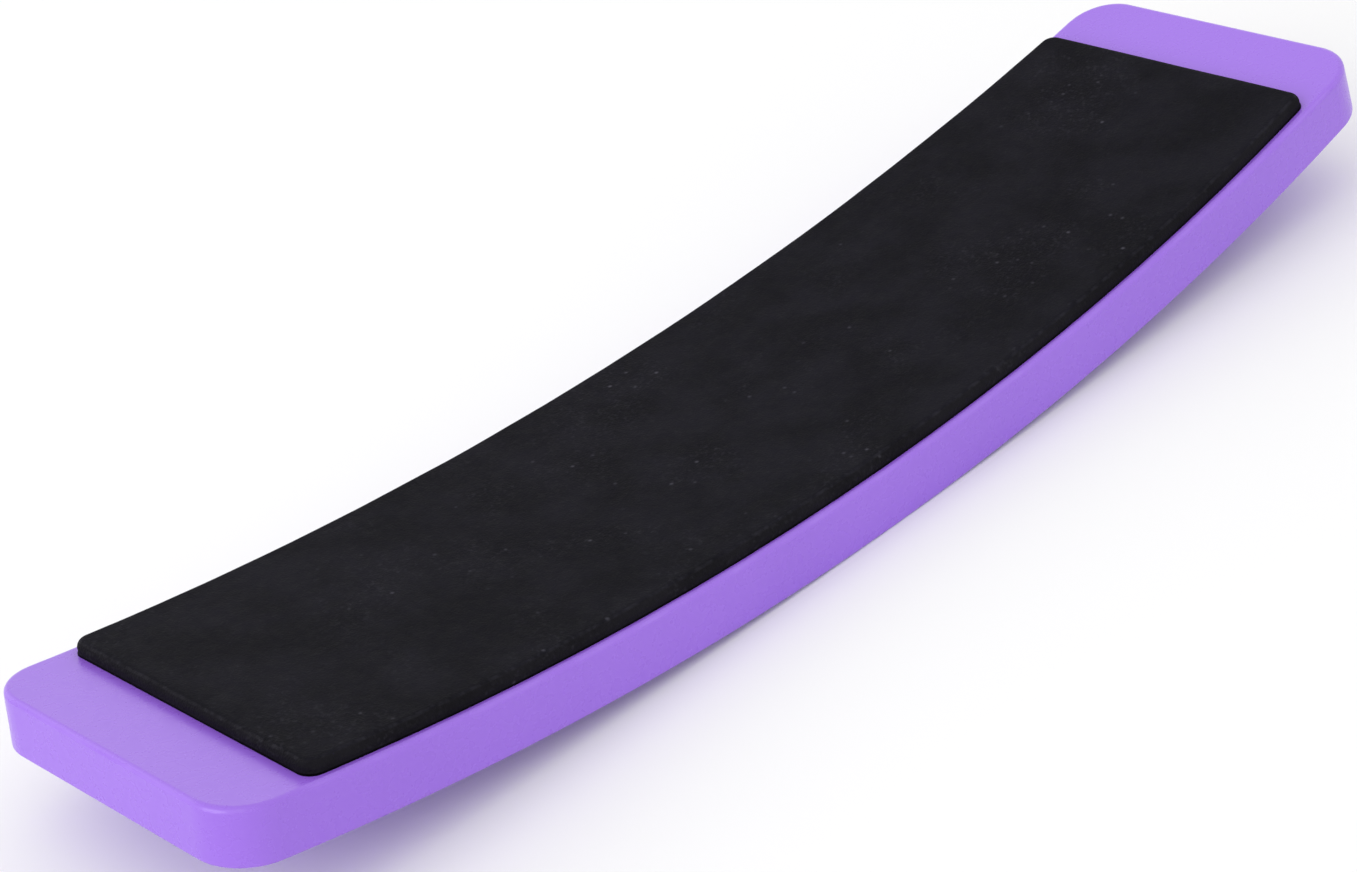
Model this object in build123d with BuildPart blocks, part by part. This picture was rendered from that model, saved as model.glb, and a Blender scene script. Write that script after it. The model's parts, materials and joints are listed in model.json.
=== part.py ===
from build123d import *

from math import cos, degrees, radians, sin
import os

# Balance board for practising turns: a curved, solid-moulded rocker with a foam foot pad stuck on its deck.
#
# Frame: millimetres, +X along the board's length, +Y across it, +Z up. The origin is the lowest point of the
# sole. The sole meets the floor along one line across the board, so the board tips, rocks and spins on it.

# Board body: one thick ABS moulding
WIDTH = 70.0  # at mid-length, the widest place of the barrelled sides
BARREL_RADIUS = 4400.0  # each long side in plan, which leaves the board 65.6 wide at its ends
DECK_ARC = 279.2  # length of the deck, measured along its curve
DECK_RADIUS = 625.0  # concave upper face
SOLE_RADIUS = 612.0  # convex underside, a little tighter, so the board thins towards its ends
MID_THICKNESS = 11.0
END_DRAFT = 3.8  # degrees that each end face leans in below the deck
CORNER_RADIUS = 9.2  # the four upright corners
DECK_EDGE_RADIUS = 1.0  # rounding round the deck
SOLE_EDGE_RADIUS = 0.5  # rounding round the sole

# Foam pad and the double-sided film that holds it down, cut together to one outline
PAD_ARC = 246.8  # length along the deck's curve
PAD_WIDTH = 67.4  # at mid-length, which leaves 1.3 of the deck bare at each side
PAD_BARREL_RADIUS = 3500.0  # a little rounder in plan than the board
PAD_CORNER_RADIUS = 2.8
PAD_THICKNESS = 2.5
PAD_EDGE_RADIUS = 1.5  # the cutting die pulls the foam's top edge down into a rounding
FILM_THICKNESS = 0.15

# Blanks are cut oversize and then trimmed
BLANK_MARGIN = 2.0  # degrees of arc beyond each end
PLAN_HALF_ANGLE = 2.2  # degrees of each barrel arc, enough to pass the ends of the board and of the pad
CUT_HEIGHT = 60.0  # clears the raised ends

ARC_CENTRE_Z = MID_THICKNESS + DECK_RADIUS  # the deck, the film and the pad curve about one line
DECK_HALF_ANGLE = degrees(DECK_ARC / 2 / DECK_RADIUS)
PAD_HALF_ANGLE = degrees(PAD_ARC / 2 / DECK_RADIUS)
FILM_TOP_RADIUS = DECK_RADIUS - FILM_THICKNESS
PAD_TOP_RADIUS = FILM_TOP_RADIUS - PAD_THICKNESS


def arc_lowest_at_middle(radius, centre, half_angle):
    """An arc about (0, centre), from half_angle degrees before its lowest point to as far after it."""
    return CenterArc((0, centre), radius, -90 - half_angle, 2 * half_angle)


def side_view(lower_radius, lower_centre, upper_radius, half_angle):
    """The side view of a curved layer: a lower and an upper arc, joined by a straight line at each end."""
    with BuildSketch(Plane.XZ) as profile:
        with BuildLine():
            lower = arc_lowest_at_middle(lower_radius, lower_centre, half_angle)
            upper = arc_lowest_at_middle(upper_radius, ARC_CENTRE_Z, half_angle)
            Line(lower @ 0, upper @ 0)
            Line(lower @ 1, upper @ 1)
        make_face()
    return profile.sketch


def quarter_plan(width, barrel_radius):
    """A quarter of the plan view of a piece with barrelled sides, before its end is cut to length."""
    with BuildSketch(Plane.XY) as outline:
        with BuildLine():
            barrel_centre = (0, width / 2 - barrel_radius)
            side = CenterArc(barrel_centre, barrel_radius, 90 - PLAN_HALF_ANGLE, PLAN_HALF_ANGLE)
            Polyline(side @ 1, (0, 0), ((side @ 0).X, 0), side @ 0)
        make_face()
    return outline.sketch


def right_end_plane():
    """The plane of the end face at +X, through the deck's end and square to the deck but for its draft."""
    turn = radians(DECK_HALF_ANGLE)
    tilt = radians(DECK_HALF_ANGLE - END_DRAFT)
    deck_end = (DECK_RADIUS * sin(turn), 0, ARC_CENTRE_Z - DECK_RADIUS * cos(turn))
    return Plane(origin=deck_end, x_dir=(0, 1, 0), z_dir=(cos(tilt), 0, sin(tilt)))


# The board is the same in all four quarters, so each piece is shaped as one quarter and mirrored twice. The
# upright corner is the one elliptical edge, where the flat end meets the barrelled side. Each rounding of the
# body starts at the end face and runs on round the corner and along the side.
with BuildPart() as board_body:
    extrude(quarter_plan(WIDTH, BARREL_RADIUS), CUT_HEIGHT)
    blank = side_view(SOLE_RADIUS, SOLE_RADIUS, DECK_RADIUS, DECK_HALF_ANGLE + BLANK_MARGIN)
    extrude(blank, WIDTH, both=True, mode=Mode.INTERSECT)
    split(bisect_by=right_end_plane(), keep=Keep.BOTTOM)
    fillet(board_body.edges().filter_by(GeomType.ELLIPSE), CORNER_RADIUS)
    sole_end = board_body.edges().filter_by(Axis.Y).sort_by(Axis.X)[-1]
    fillet(sole_end, SOLE_EDGE_RADIUS)
    deck_end = board_body.edges().filter_by(Axis.Y).sort_by(Axis.Z)[-1]
    fillet(deck_end, DECK_EDGE_RADIUS)
    mirror(about=Plane.YZ)
    mirror(about=Plane.XZ)
board_body.part.label = "board_body"

with BuildPart() as adhesive_film:
    extrude(quarter_plan(PAD_WIDTH, PAD_BARREL_RADIUS), CUT_HEIGHT)
    film_side = side_view(DECK_RADIUS, ARC_CENTRE_Z, FILM_TOP_RADIUS, PAD_HALF_ANGLE)
    extrude(film_side, WIDTH, both=True, mode=Mode.INTERSECT)
    fillet(adhesive_film.edges().filter_by(GeomType.ELLIPSE), PAD_CORNER_RADIUS)
    mirror(about=Plane.YZ)
    mirror(about=Plane.XZ)
adhesive_film.part.label = "adhesive_film"

with BuildPart() as foam_pad:
    extrude(quarter_plan(PAD_WIDTH, PAD_BARREL_RADIUS), CUT_HEIGHT)
    pad_side = side_view(FILM_TOP_RADIUS, ARC_CENTRE_Z, PAD_TOP_RADIUS, PAD_HALF_ANGLE)
    extrude(pad_side, WIDTH, both=True, mode=Mode.INTERSECT)
    fillet(foam_pad.edges().filter_by(GeomType.ELLIPSE), PAD_CORNER_RADIUS)
    pad_end = foam_pad.edges().filter_by(Axis.Y).sort_by(Axis.Z)[-1]
    fillet(pad_end, PAD_EDGE_RADIUS)
    mirror(about=Plane.YZ)
    mirror(about=Plane.XZ)
foam_pad.part.label = "foam_pad"

os.makedirs("parts", exist_ok=True)
export_step(board_body.part, "parts/board_body.step")
export_step(adhesive_film.part, "parts/adhesive_film.step")
export_step(foam_pad.part, "parts/foam_pad.step")
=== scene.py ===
import json
from math import asin, cos, pi, radians, sin

import bmesh
import bpy
from mathutils import Matrix, Vector, noise


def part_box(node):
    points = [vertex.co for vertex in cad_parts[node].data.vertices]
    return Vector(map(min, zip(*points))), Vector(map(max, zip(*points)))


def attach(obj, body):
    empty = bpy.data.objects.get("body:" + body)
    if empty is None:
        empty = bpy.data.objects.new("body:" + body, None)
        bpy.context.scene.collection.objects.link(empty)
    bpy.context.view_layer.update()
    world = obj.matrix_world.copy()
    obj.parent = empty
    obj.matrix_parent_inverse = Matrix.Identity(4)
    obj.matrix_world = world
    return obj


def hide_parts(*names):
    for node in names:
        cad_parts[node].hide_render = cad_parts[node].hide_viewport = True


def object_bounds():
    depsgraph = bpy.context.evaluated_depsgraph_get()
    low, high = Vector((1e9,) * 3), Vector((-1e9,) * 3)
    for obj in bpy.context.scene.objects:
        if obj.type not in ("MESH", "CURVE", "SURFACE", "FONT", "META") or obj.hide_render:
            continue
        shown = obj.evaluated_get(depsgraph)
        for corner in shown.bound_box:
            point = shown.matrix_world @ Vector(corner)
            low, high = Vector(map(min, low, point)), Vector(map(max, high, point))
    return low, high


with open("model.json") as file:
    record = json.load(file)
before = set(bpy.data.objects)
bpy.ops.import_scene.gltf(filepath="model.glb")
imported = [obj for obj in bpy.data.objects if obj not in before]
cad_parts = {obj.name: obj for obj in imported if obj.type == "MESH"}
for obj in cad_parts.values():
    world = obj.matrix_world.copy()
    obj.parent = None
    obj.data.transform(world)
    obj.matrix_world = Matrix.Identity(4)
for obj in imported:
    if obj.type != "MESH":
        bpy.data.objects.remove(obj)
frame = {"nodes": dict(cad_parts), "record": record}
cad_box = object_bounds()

MM = 0.001

# The Mix node has sockets of the same name for each kind of value; these are its colour ones
MIX_COLOUR_A = 6
MIX_COLOUR_B = 7
MIX_COLOUR_RESULT = 2


# ------------------------------------------------------------------ node helper


class Nodes:
    """A Principled material's node tree, with one short call for each kind of node used below."""

    def __init__(self, name):
        self.material = bpy.data.materials.new(name)
        self.material.use_nodes = True
        self.tree = self.material.node_tree
        self.shader = self.tree.nodes["Principled BSDF"]
        coordinates = self.tree.nodes.new("ShaderNodeTexCoord")
        self.position = coordinates.outputs["Object"]
        self.x, self.y, _ = self.parts(self.position)
        self.up = self.parts(coordinates.outputs["Normal"])[2]

    def feed(self, socket, value):
        """Links an output to the socket, or sets the socket to a plain value."""
        if isinstance(value, bpy.types.NodeSocket):
            self.tree.links.new(value, socket)
        else:
            socket.default_value = value

    def parts(self, vector):
        node = self.tree.nodes.new("ShaderNodeSeparateXYZ")
        self.feed(node.inputs[0], vector)
        return node.outputs

    def math(self, operation, *values):
        node = self.tree.nodes.new("ShaderNodeMath")
        node.operation = operation
        for socket, value in zip(node.inputs, values):
            self.feed(socket, value)
        return node.outputs[0]

    def add(self, first, second):
        return self.math("ADD", first, second)

    def times(self, first, second):
        return self.math("MULTIPLY", first, second)

    def vector(self, x, y, z):
        node = self.tree.nodes.new("ShaderNodeCombineXYZ")
        for socket, value in zip(node.inputs, (x, y, z)):
            self.feed(socket, value)
        return node.outputs[0]

    def ramp(self, value, low, high, start=0.0, end=1.0):
        """start where value is below low, end where it is above high, and a smooth change between."""
        node = self.tree.nodes.new("ShaderNodeMapRange")
        node.interpolation_type = "SMOOTHSTEP"
        for name, item in (
            ("Value", value),
            ("From Min", low),
            ("From Max", high),
            ("To Min", start),
            ("To Max", end),
        ):
            self.feed(node.inputs[name], item)
        return node.outputs["Result"]

    def noise(self, size, detail=2.0, roughness=0.5, seed=0.0, at=None):
        """Noise from 0 to 1, with blobs about size metres across."""
        node = self.tree.nodes.new("ShaderNodeTexNoise")
        node.noise_dimensions = "4D"
        self.feed(node.inputs["Vector"], self.position if at is None else at)
        settings = {"W": seed, "Scale": 1 / size, "Detail": detail, "Roughness": roughness}
        for name, value in settings.items():
            node.inputs[name].default_value = value
        return node.outputs[0]

    def cells(self, size):
        """Cells about size metres across: the distance from each one's point, and its random number."""
        node = self.tree.nodes.new("ShaderNodeTexVoronoi")
        self.feed(node.inputs["Vector"], self.position)
        node.inputs["Scale"].default_value = 1 / size
        return node.outputs["Distance"], self.parts(node.outputs["Color"])[0]

    def mix(self, share, first, second):
        """The first colour where share is 0, the second where it is 1."""
        node = self.tree.nodes.new("ShaderNodeMix")
        node.data_type = "RGBA"
        self.feed(node.inputs["Factor"], share)
        self.feed(node.inputs[MIX_COLOUR_A], first)
        self.feed(node.inputs[MIX_COLOUR_B], second)
        return node.outputs[MIX_COLOUR_RESULT]

    def relief(self, height, depth, below=None):
        """A bump from that height map, depth metres deep, on top of the bump below."""
        node = self.tree.nodes.new("ShaderNodeBump")
        node.inputs["Distance"].default_value = depth
        self.feed(node.inputs["Height"], height)
        if below is not None:
            self.feed(node.inputs["Normal"], below)
        return node.outputs["Normal"]

    def finish(self, colour, roughness, normal, **constants):
        """Wires the shader, and sets on its own sockets what is the same all over."""
        self.feed(self.shader.inputs["Base Color"], colour)
        self.feed(self.shader.inputs["Roughness"], roughness)
        self.feed(self.shader.inputs["Normal"], normal)
        for name, value in constants.items():
            self.shader.inputs[name.replace("_", " ")].default_value = value
        return self.material


# ------------------------------------------------------------------ materials

ABS_DEEP = (0.295, 0.123, 0.702, 1)
ABS_PALE = (0.309, 0.131, 0.724, 1)
ABS_SPECKLE = (0.40, 0.23, 0.80, 1)
# the lighter purple of the roundings: partly edge wear, partly a painted highlight
ABS_WORN_AND_HIGHLIT = (0.42, 0.25, 0.82, 1)
ABS_SCUFFED = (0.47, 0.33, 0.82, 1)
SCUFF_RINGS = 1900.0  # to the metre

FOAM_FACE_DARK = (0.0012, 0.0010, 0.0028, 1)
FOAM_FACE_LIGHT = (0.0085, 0.0078, 0.0130, 1)
FOAM_CUT_DARK = (0.0030, 0.0026, 0.0042, 1)
FOAM_CUT_LIGHT = (0.0098, 0.0090, 0.0125, 1)
# pale grey of lint and dust, also used for the painted rim highlight of the pad
LINT_DUST_AND_HIGHLIGHT = (0.30, 0.29, 0.36, 1)

# nearly black: a painted contact shadow along the film and the pad's foot
FILM_SHADOW_DARK = (0.0004, 0.0003, 0.0004, 1)
FILM_SHADOW_LIGHT = (0.0016, 0.0012, 0.0018, 1)


def moulded_abs():
    """Lavender purple ABS: a satin mould texture, lighter at the edges from wear and a painted highlight,
    and scuffed under the sole.
    """
    m = Nodes("moulded_abs")
    steepness = m.math("ABSOLUTE", m.up)

    flow = m.noise(38 * MM, detail=1.0)
    speckle = m.noise(0.9 * MM, seed=3.0)
    colour = m.mix(m.ramp(flow, 0.3, 0.7), ABS_DEEP, ABS_PALE)
    colour = m.mix(m.ramp(speckle, 0.55, 0.75, 0, 0.05), colour, ABS_SPECKLE)

    # Only the roundings slope between upright and level; they turn a lighter purple, partly wear and
    # partly a painted highlight
    rounding = m.times(m.ramp(steepness, 0.25, 0.5), m.ramp(steepness, 0.7, 0.95, 1, 0))
    edge_wear_and_highlight = m.times(rounding, m.ramp(m.noise(7 * MM, detail=4.0, seed=5.0), 0.35, 0.7))
    # Painted edge highlight with some wear: the roundings are mixed towards a lighter purple
    colour = m.mix(m.times(edge_wear_and_highlight, 0.25), colour, ABS_WORN_AND_HIGHLIT)

    # Spinning rubs rings into the sole, strongest near the line that meets the floor
    radius = m.math("SQRT", m.add(m.times(m.x, m.x), m.times(m.y, m.y)))
    polar = m.vector(m.times(radius, SCUFF_RINGS), m.math("ARCTAN2", m.y, m.x), 0.0)
    rings = m.ramp(m.noise(1.0, detail=5.0, roughness=0.7, at=polar), 0.52, 0.72)
    reach = m.ramp(m.math("ABSOLUTE", m.x), 8 * MM, 60 * MM, 1, 0)
    scuffs = m.times(rings, m.times(reach, m.ramp(m.up, -0.95, -0.85, 1, 0)))
    colour = m.mix(m.times(scuffs, 0.35), colour, ABS_SCUFFED)

    roughness = m.ramp(m.noise(2.5 * MM, detail=4.0, seed=2.0), 0.2, 0.8, 0.24, 0.32)
    roughness = m.add(roughness, m.times(edge_wear_and_highlight, -0.08))
    roughness = m.add(roughness, m.times(scuffs, 0.18))
    surface = m.relief(m.noise(9 * MM, seed=1.0), 0.025 * MM)
    surface = m.relief(m.noise(0.28 * MM, detail=3.0, roughness=0.6), 0.003 * MM, surface)
    surface = m.relief(scuffs, -0.02 * MM, surface)
    return m.finish(colour, roughness, surface, IOR=1.5, Specular_IOR_Level=0.7)


def eva_foam(name, dark, light, pit_depth):
    """Black closed-cell foam from dark to light, with pits pit_depth metres deep, and a little lint."""
    m = Nodes(name)
    patches = m.noise(13 * MM, detail=3.0, roughness=0.55)
    mottle = m.noise(2.2 * MM, detail=4.0, roughness=0.65, seed=2.0)
    grain = m.noise(0.55 * MM, detail=3.0, roughness=0.7, seed=4.0)
    share = m.add(m.ramp(patches, 0.35, 0.65, 0, 0.5), m.ramp(mottle, 0.35, 0.65, 0, 0.25))
    share = m.add(share, m.ramp(grain, 0.35, 0.7, 0, 0.25))
    colour = m.mix(share, dark, light)

    # Lint and rubbed flecks lie in loose drifts, most of them faint
    lint_distance, lint_number = m.cells(2.6 * MM)
    strength = m.math("POWER", m.ramp(lint_number, 0.2, 1.0), 4.0)
    drift = m.ramp(m.noise(17 * MM, detail=2.0, seed=7.0), 0.48, 0.62, 0.1, 1)
    lint = m.times(m.ramp(lint_distance, 0.0, 0.22, 1, 0), strength)
    flecks = m.ramp(m.noise(0.8 * MM, detail=2.0, seed=8.0), 0.5, 0.75)
    marks = m.add(m.times(lint, 0.2), m.times(flecks, 0.03))
    colour = m.mix(m.times(marks, drift), colour, LINT_DUST_AND_HIGHLIGHT)

    # Dust and a painted rim highlight make a patchy lighter line where the face turns down to the cut edge
    turning = m.times(m.ramp(m.up, 0.7, 0.85), m.ramp(m.up, 0.94, 0.97, 1, 0))
    dust_and_rim_highlight = m.times(turning, m.ramp(m.noise(1.6 * MM, detail=3.0, seed=6.0), 0.35, 0.7))
    colour = m.mix(m.times(dust_and_rim_highlight, 0.033), colour, LINT_DUST_AND_HIGHLIGHT)

    roughness = m.ramp(mottle, 0.25, 0.75, 0.72, 0.9)
    pits, _ = m.cells(0.42 * MM)
    surface = m.relief(mottle, 0.12 * MM)
    surface = m.relief(pits, pit_depth, surface)
    surface = m.relief(grain, 0.07 * MM, surface)
    return m.finish(colour, roughness, surface, IOR=1.45, Specular_IOR_Level=0.12)


def foam_face():
    return eva_foam("eva_face", FOAM_FACE_DARK, FOAM_FACE_LIGHT, 0.06 * MM)


def foam_cut_edge():
    return eva_foam("eva_cut_edge", FOAM_CUT_DARK, FOAM_CUT_LIGHT, 0.12 * MM)


def film_edge_painted_shadow():
    """The nearly black edge of the double-sided film: a painted contact shadow under the pad."""
    m = Nodes("adhesive_film_edge_painted_shadow")
    streaks = m.noise(1.5 * MM, detail=3.0)
    colour = m.mix(m.ramp(streaks, 0.3, 0.7), FILM_SHADOW_DARK, FILM_SHADOW_LIGHT)
    roughness = m.ramp(streaks, 0.3, 0.7, 0.5, 0.7)
    return m.finish(colour, roughness, m.relief(streaks, 0.03 * MM), IOR=1.47, Specular_IOR_Level=0.08)


def pale_floor(colour):
    """A plain matt floor that fades with distance into the backdrop, so that no horizon shows."""
    m = Nodes("pale_floor")
    distance = m.math("SQRT", m.add(m.times(m.x, m.x), m.times(m.y, m.y)))
    glow = m.tree.nodes.new("ShaderNodeEmission")
    glow.inputs["Color"].default_value = colour
    blend = m.tree.nodes.new("ShaderNodeMixShader")
    m.feed(blend.inputs[0], m.ramp(distance, FLOOR_FADE_START, FLOOR_FADE_END))
    m.feed(blend.inputs[1], m.shader.outputs[0])
    m.feed(blend.inputs[2], glow.outputs[0])
    m.feed(m.tree.nodes["Material Output"].inputs["Surface"], blend.outputs[0])
    m.shader.inputs["Base Color"].default_value = FLOOR_COLOUR
    m.shader.inputs["Roughness"].default_value = 0.9
    m.shader.inputs["Specular IOR Level"].default_value = 0.2
    return m.material


# ------------------------------------------------------------------ foam pad

PAD_CORNER_RADIUS = 2.8 * MM
PAD_BARREL_RADIUS = 3.5  # of its long sides in plan
PAD_MESH_STEP = 1.3 * MM
CORNER_STEPS = 8
ROUND_STEPS = 8
FACE_ROUND_STEPS = 3  # the first steps of the rounding that still look like the face
WALL_STEPS = 4
EDGE_ROUND = 1.5 * MM  # the die rolls the top edge over
EDGE_HOLLOW = 0.10 * MM  # the cut edge springs back slightly hollow
EDGE_WANDER = 0.08 * MM  # the cut strays this far from its line
EDGE_WANDER_WAVES = 70  # to the metre, as are the next two
FACE_WAVES = 55
FACE_RIPPLES = 240
FACE_UNEVEN = 0.06 * MM  # the foam sheet's own waviness
RIPPLE_SHARE = 0.4  # of that, the height of its ripples

# the last slot is the nearly black film, a painted contact shadow at the pad's foot
FACE, CUT_EDGE, FILM_AND_CONTACT_SHADOW = range(3)  # the pad's material slots


def pad_shape():
    """The CAD pad's own sizes: the radius of its underside's arc, half its length along that arc,
    half its width, its thickness and the height of its lowest point."""
    low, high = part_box("foam_pad")
    tip = max((v.co for v in frame["nodes"]["foam_pad"].data.vertices), key=lambda co: co.x)
    rise = tip.z - low.z
    radius = (tip.x**2 + rise**2) / (2 * rise)
    mounts = {mount["name"]: mount for mount in frame["record"]["mounts"]}
    thickness = mounts["foot_pad_top"]["pos_m"][2] - low.z
    return radius, radius * asin(tip.x / radius), high.y, thickness, low.z


def waviness(s, y, waves, seed):
    """Smooth noise from -1 to 1 over the flat pad, with that many waves to the metre."""
    return noise.noise(Vector((s * waves, y * waves, seed)))


def make_foam_pad():
    """The die-cut pad as one closed mesh: a top and a bottom grid, joined by rings round the edge."""
    radius, half_length, half_width, thickness, lowest = pad_shape()

    def in_plan(u, across, turn, inset):
        """A point of the pad laid flat. u runs from -1 to 1 along a row. Rows between the corners have
        across from -1 to 1 and no turn, and rows through the corners have across -1 or 1 and a turn."""
        corner = PAD_CORNER_RADIUS - inset
        s = u * (half_length - PAD_CORNER_RADIUS + corner * cos(turn))
        straight = half_width - s * s / (2 * PAD_BARREL_RADIUS) - PAD_CORNER_RADIUS
        return s, across * straight + (corner * sin(turn) if across > 0 else -corner * sin(turn))

    def on_board(s, y, height):
        arm = radius - height
        return Vector((arm * sin(s / radius), y, lowest + radius - arm * cos(s / radius)))

    turns = [pi / 2 * i / CORNER_STEPS for i in range(1, CORNER_STEPS + 1)]
    row_count = round(2 * half_width / PAD_MESH_STEP)
    rows = [(-1.0, turn) for turn in reversed(turns)]
    rows += [(2 * i / row_count - 1, 0.0) for i in range(row_count + 1)]
    rows += [(1.0, turn) for turn in turns]
    column_count = round(2 * half_length / PAD_MESH_STEP)
    columns = [2 * i / column_count - 1 for i in range(column_count + 1)]
    last_row, last_column = len(rows) - 1, len(columns) - 1

    def wander(u, across, turn):
        s, y = in_plan(u, across, turn, 0)
        return EDGE_WANDER * waviness(s, y, EDGE_WANDER_WAVES, 4.0)

    def vertex(mesh, column, row, inset, height):
        u = columns[column]
        across, turn = rows[row]
        s, y = in_plan(u, across, turn, inset + wander(u, across, turn))
        if height > thickness / 2:
            height += FACE_UNEVEN * waviness(s, y, FACE_WAVES, 0.5)
            height += RIPPLE_SHARE * FACE_UNEVEN * waviness(s, y, FACE_RIPPLES, 9.5)
        return mesh.verts.new(on_board(s, y, height))

    edge = [(column, 0) for column in range(last_column)]
    edge += [(last_column, row) for row in range(last_row)]
    edge += [(column, last_row) for column in range(last_column, 0, -1)]
    edge += [(0, row) for row in range(last_row, 0, -1)]

    quarter = [pi / 2 * i / ROUND_STEPS for i in range(1, ROUND_STEPS + 1)]
    profile = [(EDGE_ROUND * (1 - sin(a)), thickness - EDGE_ROUND * (1 - cos(a))) for a in quarter]
    wall_top = thickness - EDGE_ROUND
    for i in range(1, WALL_STEPS):
        profile.append((EDGE_HOLLOW * sin(pi * i / WALL_STEPS), wall_top * (1 - i / WALL_STEPS)))

    def grid(mesh, inset, height):
        return [[vertex(mesh, c, r, inset, height) for r in range(len(rows))] for c in range(len(columns))]

    mesh = bmesh.new()
    top = grid(mesh, EDGE_ROUND, thickness)
    bottom = grid(mesh, 0.0, 0.0)
    for c in range(last_column):
        for r in range(last_row):
            mesh.faces.new((top[c][r], top[c + 1][r], top[c + 1][r + 1], top[c][r + 1]))
            mesh.faces.new((bottom[c][r + 1], bottom[c + 1][r + 1], bottom[c + 1][r], bottom[c][r]))
    rings = [[top[c][r] for c, r in edge]]
    rings += [[vertex(mesh, c, r, inset, height) for c, r in edge] for inset, height in profile]
    rings += [[bottom[c][r] for c, r in edge]]
    bands = list(zip(rings, rings[1:]))
    materials = [CUT_EDGE] * len(bands)
    materials[:FACE_ROUND_STEPS] = [FACE] * FACE_ROUND_STEPS
    # The foot of the cut edge takes the nearly black film: a painted contact shadow where the pad meets
    # the deck
    materials[-1] = FILM_AND_CONTACT_SHADOW
    for (upper, lower), material in zip(bands, materials):
        for i in range(len(edge)):
            j = (i + 1) % len(edge)
            face = mesh.faces.new((upper[i], lower[i], lower[j], upper[j]))
            face.material_index = material
    for face in mesh.faces:
        face.smooth = True

    data = bpy.data.meshes.new("foam_pad_die_cut")
    mesh.to_mesh(data)
    mesh.free()
    pad = bpy.data.objects.new("foam_pad_die_cut", data)
    bpy.context.scene.collection.objects.link(pad)
    for material in (foam_face(), foam_cut_edge(), film_edge_painted_shadow()):
        data.materials.append(material)
    return pad


# ------------------------------------------------------------------ stage

CAMERA_AZIMUTH = -37.98  # degrees; 0 looks along +Y
CAMERA_ELEVATION = 30.07
CAMERA_ROLL = -11.96
CAMERA_DISTANCE = 0.6011  # from the deck's centre
CAMERA_LENS = 90.18  # mm, on the usual 36 mm sensor
VIEW_CENTRE_RIGHT = -12.40 * MM  # of the deck's centre, in the unrolled view
VIEW_CENTRE_UP = -0.89 * MM

FLOOR_COLOUR = (0.90, 0.90, 0.90, 1)
FLOOR_RADIUS = 8.0
FLOOR_FADE_START = 0.7  # metres from the board, where the floor starts to turn into the backdrop
FLOOR_FADE_END = 2.6
BACKDROP_COLOUR = (1.0, 1.0, 1.0, 1)
AMBIENT = 1.0


def place_camera():
    """Sets the camera from its direction, roll and distance, and aims it beside the deck's centre."""
    azimuth, elevation, roll = (radians(a) for a in (CAMERA_AZIMUTH, CAMERA_ELEVATION, CAMERA_ROLL))
    back = Vector((sin(azimuth) * cos(elevation), -cos(azimuth) * cos(elevation), sin(elevation)))
    right = Vector((cos(azimuth), sin(azimuth), 0))
    up = back.cross(right)
    deck_centre = Vector((0, 0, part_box("adhesive_film")[0].z))
    camera = bpy.data.objects.new("camera", bpy.data.cameras.new("camera"))
    bpy.context.scene.collection.objects.link(camera)
    camera.data.lens = CAMERA_LENS
    camera.data.clip_start = 0.01
    place = deck_centre + back * CAMERA_DISTANCE + right * VIEW_CENTRE_RIGHT + up * VIEW_CENTRE_UP
    rolled_right = right * cos(roll) + up * sin(roll)
    rolled_up = up * cos(roll) - right * sin(roll)
    axes = Matrix((rolled_right, rolled_up, back)).transposed()
    camera.matrix_world = Matrix.Translation(place) @ axes.to_4x4()
    bpy.context.scene.camera = camera


def softbox(name, place, size, power):
    """A square area light at that place, turned to the board. Cameras don't see it."""
    light = bpy.data.lights.new(name, "AREA")
    light.size = size
    light.energy = power
    lamp = bpy.data.objects.new(name, light)
    bpy.context.scene.collection.objects.link(lamp)
    lamp.location = place
    lamp.rotation_mode = "QUATERNION"
    lamp.rotation_quaternion = Vector(place).to_track_quat("Z", "Y")
    lamp.visible_camera = False


def light_stage():
    """An even pale surround, a light to the board's left, and two weak ones behind it."""
    world = bpy.data.worlds.new("surround")
    bpy.context.scene.world = world
    world.use_nodes = True
    background = world.node_tree.nodes["Background"]
    background.inputs["Color"].default_value = BACKDROP_COLOUR
    background.inputs["Strength"].default_value = AMBIENT
    softbox("left", place=(-1.75, -0.15, 0.8), size=1.4, power=10.0)
    softbox("back", place=(-0.5, 1.8, 1.0), size=1.2, power=2.8)
    softbox("deck_sheen", place=(1.3, 1.3, 0.6), size=1.2, power=0.8)


def make_floor():
    mesh = bmesh.new()
    bmesh.ops.create_circle(mesh, cap_ends=True, segments=96, radius=FLOOR_RADIUS)
    data = bpy.data.meshes.new("floor")
    mesh.to_mesh(data)
    mesh.free()
    floor = bpy.data.objects.new("floor", data)
    bpy.context.scene.collection.objects.link(floor)
    floor.location.z = cad_box[0].z
    data.materials.append(pale_floor(BACKDROP_COLOUR))


# ------------------------------------------------------------------ assembly


def dress(node, material):
    """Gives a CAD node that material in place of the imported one."""
    data = frame["nodes"][node].data
    data.materials.clear()
    data.materials.append(material)


bpy.context.scene.view_settings.view_transform = "Standard"
place_camera()
light_stage()
make_floor()

dress("board_body", moulded_abs())
# the CAD film takes the same nearly black material, a painted contact shadow under the pad
dress("adhesive_film", film_edge_painted_shadow())

pad = make_foam_pad()
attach(pad, "root")
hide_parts("foam_pad")
